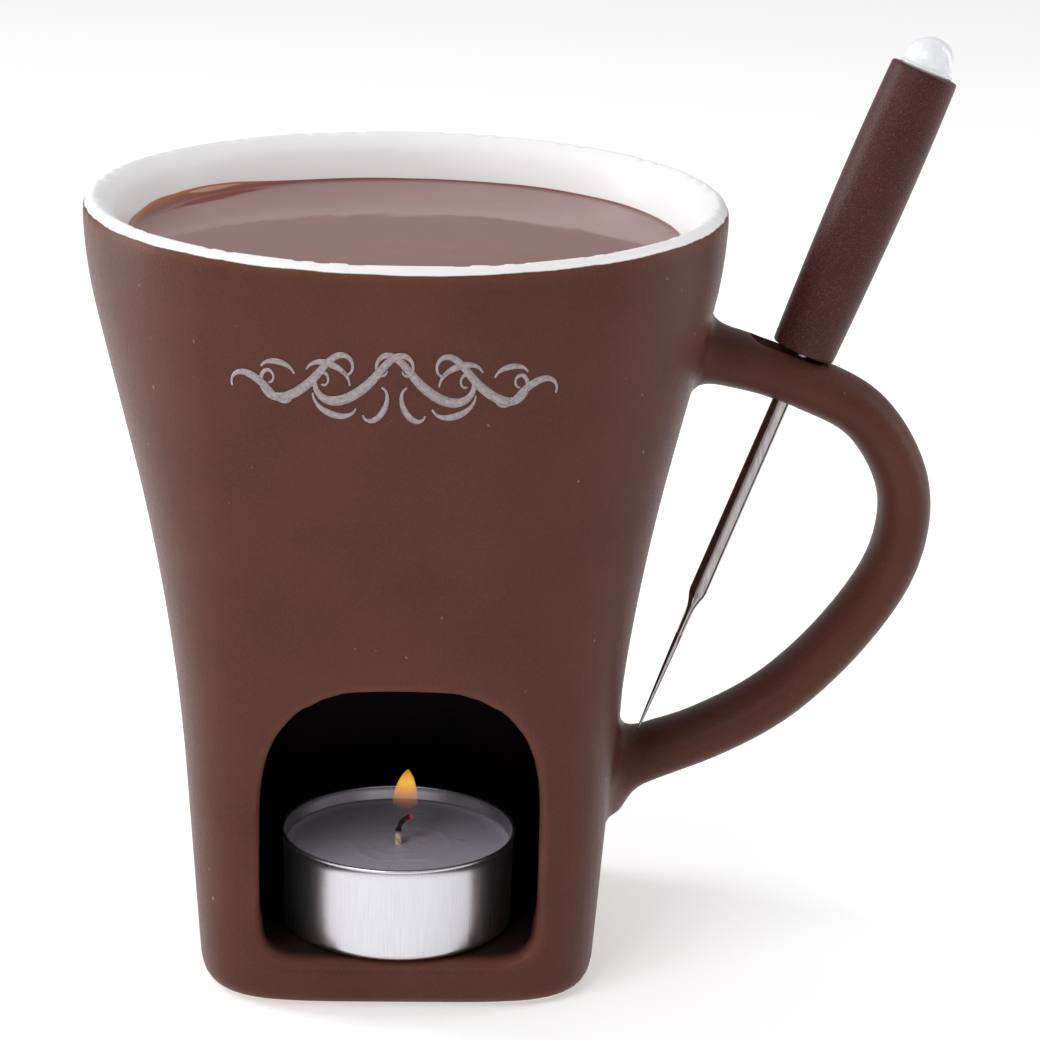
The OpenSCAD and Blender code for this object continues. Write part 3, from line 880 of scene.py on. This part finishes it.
shaft = rod([(0.024, 0.0013, 0.0013, 0), (0.0236, shaft_half, shaft_half, 0), (0, shaft_half, shaft_half, 0),
             (-0.02, shaft_half, shaft_half, 0), (-0.0425, shaft_half, shaft_half, 0),
             (-0.0432, 0.00138, 0.00148, 0), (-0.0442, 0.00105, 0.0018, 0), (-0.0452, 0.0008, 0.0021, 0),
             (-0.0462, 0.00071, 0.0022, 0), (-0.0495, 0.00063, 0.0022, 0), (-0.0515, 0.00058, 0.0021, 0)],
            "fork_blade")
for side in (-1, 1):
    tine = rod([(-0.0500, 0.00057, tine_half_w * 0.9, side * 0.00145),
                (-0.0530, 0.00054, tine_half_w, side * 0.0015),
                (-0.0580, 0.00042, 0.0006, side * 0.00155), (-0.0630, 0.0003, 0.00045, side * 0.0016),
                (-0.0662, 0.0002, 0.0003, side * 0.00165), (-0.0674, 0.0001, 0.00014, side * 0.00167)],
               "tine", 24)
    cut(shaft, tine, "UNION")
polished_steel, shader = new_finish("polished_steel", Metallic=1.0, Anisotropic=0.4)
streaks = grain(polished_steel, 0.0004, 3, (1, 1, 0.08))
wire(polished_steel, mixed(polished_steel, span(polished_steel, streaks, 0.3, 0.7), paint(150, 143, 144),
                           paint(180, 174, 176)), shader, "Base Color")
wire(polished_steel, span(polished_steel, streaks, 0.3, 0.7, 0.1, 0.2), shader, "Roughness")
bump(polished_steel, streaks, 0.05, 0.00005, shader)
shaft.data.materials.clear()
shaft.data.materials.append(polished_steel)
for polygon in shaft.data.polygons:
    polygon.use_smooth = True
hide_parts("fork_shaft")
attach(shaft, "fork")


# ---------------------------------------------------------------- fork grip
# A barrel of dark red-brown plastic moulded over the tang, a shade fuller above
# its middle, with a fine metallic fleck in it and a chamfer round its top.
grip_length = 0.0485
grip_bottom, grip_middle, grip_top = 0.00515, 0.00575, 0.0055
widest_at = 0.031
grip_edge = 0.0005


def grip_half(z):
    if z < widest_at:
        return grip_bottom + (grip_middle - grip_bottom) * math.sin(math.pi / 2 * z / widest_at)
    return grip_middle + (grip_top - grip_middle) * ((z - widest_at) / (grip_length - widest_at)) ** 2


profile = [(0, 0)] + arc(grip_half(0) - grip_edge, grip_edge, grip_edge, -90, 0, 8)
profile += [(grip_half(z), z) for z in heights(grip_edge * 1.6, grip_length - grip_edge * 1.6, 24)]
profile += arc(grip_half(grip_length) - grip_edge, grip_length - grip_edge, grip_edge, 0, 90, 6)
profile += [(0, grip_length)]
grip = turned(profile, "fork_grip_barrel", fork_place, 96)
flecked_plastic, shader = new_finish("flecked_plastic", IOR=1.5, Specular_IOR_Level=0.16)
fleck = grain(flecked_plastic, 0.00022, 3)
drift = grain(flecked_plastic, 0.005, 2)
tone = mixed(flecked_plastic, span(flecked_plastic, drift, 0.3, 0.7), paint(62, 30, 29), paint(69, 35, 34))
tone = mixed(flecked_plastic, span(flecked_plastic, fleck, 0.52, 0.74, 0, 0.38), tone, paint(138, 96, 90))
wire(flecked_plastic, tone, shader, "Base Color")
wire(flecked_plastic, span(flecked_plastic, fleck, 0.35, 0.7, 0.26, 0.5), shader, "Roughness")
bump(flecked_plastic, fleck, 0.42, 0.0002, shader)
grip.data.materials.append(flecked_plastic)
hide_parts("fork_grip")
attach(grip, "fork")


# ---------------------------------------------------------------- fork finial
# A milky plastic bead with a thin collar, pushed into the grip's end on a short peg.
# People tell their forks apart by its colour.
bead_half = 0.004
bead_lift = 0.0015
collar_half = 0.0044
collar_tall = 0.0007
bead_start = -math.degrees(math.asin((bead_lift - collar_tall) / bead_half))
profile = [(0, grip_length - 0.008), (0.0018, grip_length - 0.008), (0.0018, grip_length + 0.00002)]
profile += [(collar_half - 0.0002, grip_length + 0.00002)]
profile += arc(collar_half - 0.0002, grip_length + collar_tall - 0.0003, 0.0002, -60, 80, 6)
profile += arc(0, grip_length + bead_lift, bead_half, bead_start, 90, 24)
finial = turned(profile, "fork_finial_bead", fork_place, 72)
milky_plastic, shader = new_finish("milky_plastic", IOR=1.5, Subsurface_Weight=0.35, Subsurface_Scale=0.002,
                                   Coat_Weight=0.3)
shader.inputs["Subsurface Radius"].default_value = (1, 1, 1)
milk = grain(milky_plastic, 0.002, 3)
wire(milky_plastic, mixed(milky_plastic, span(milky_plastic, milk, 0.3, 0.7), paint(226, 228, 232),
                          paint(240, 241, 243)), shader, "Base Color")
wire(milky_plastic, span(milky_plastic, milk, 0.3, 0.7, 0.16, 0.26), shader, "Roughness")
bump(milky_plastic, milk, 0.05, 0.0002, shader)
finial.data.materials.append(milky_plastic)
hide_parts("fork_finial")
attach(finial, "fork")


# ---------------------------------------------------------------- floor and light
# A plain white table top that runs out of sight, a soft pale room, one large soft
# light above and in front on the left, and two tall ones that edge the mug's sides.
bm = bmesh.new()
bmesh.ops.create_grid(bm, x_segments=1, y_segments=1, size=6)
floor = as_piece(bm, "table_top")
table_white, shader = new_finish("table_white", Base_Color=(0.92, 0.92, 0.92, 1), Roughness=0.6,
                                 Emission_Color=(1, 1, 1, 1), Emission_Strength=0.32)
floor.data.materials.append(table_white)

room = bpy.data.worlds.new("pale_room")
room.use_nodes = True
room.node_tree.nodes["Background"].inputs["Color"].default_value = (1, 1, 1, 1)
room.node_tree.nodes["Background"].inputs["Strength"].default_value = 0.52
bpy.context.scene.world = room
bpy.context.scene.view_settings.view_transform = "Standard"


def soft_light(name, place, aim, width, tall, power):
    lamp = bpy.data.lights.new(name, "AREA")
    lamp.shape = "RECTANGLE"
    lamp.size = width
    lamp.size_y = tall
    lamp.energy = power
    holder = bpy.data.objects.new(name, lamp)
    holder.location = place
    holder.rotation_mode = "QUATERNION"
    holder.rotation_quaternion = (Vector(aim) - Vector(place)).to_track_quat("-Z", "Y")
    bpy.context.scene.collection.objects.link(holder)


mug_heart = (0.01, 0, 0.07)
soft_light("key_light", (-0.5, -0.7, 0.85), mug_heart, 0.6, 0.6, 5.3)
soft_light("left_edge", (-0.7, 0.25, 0.3), mug_heart, 0.25, 0.8, 5)
soft_light("right_edge", (0.75, 0.2, 0.35), mug_heart, 0.25, 0.8, 1.8)
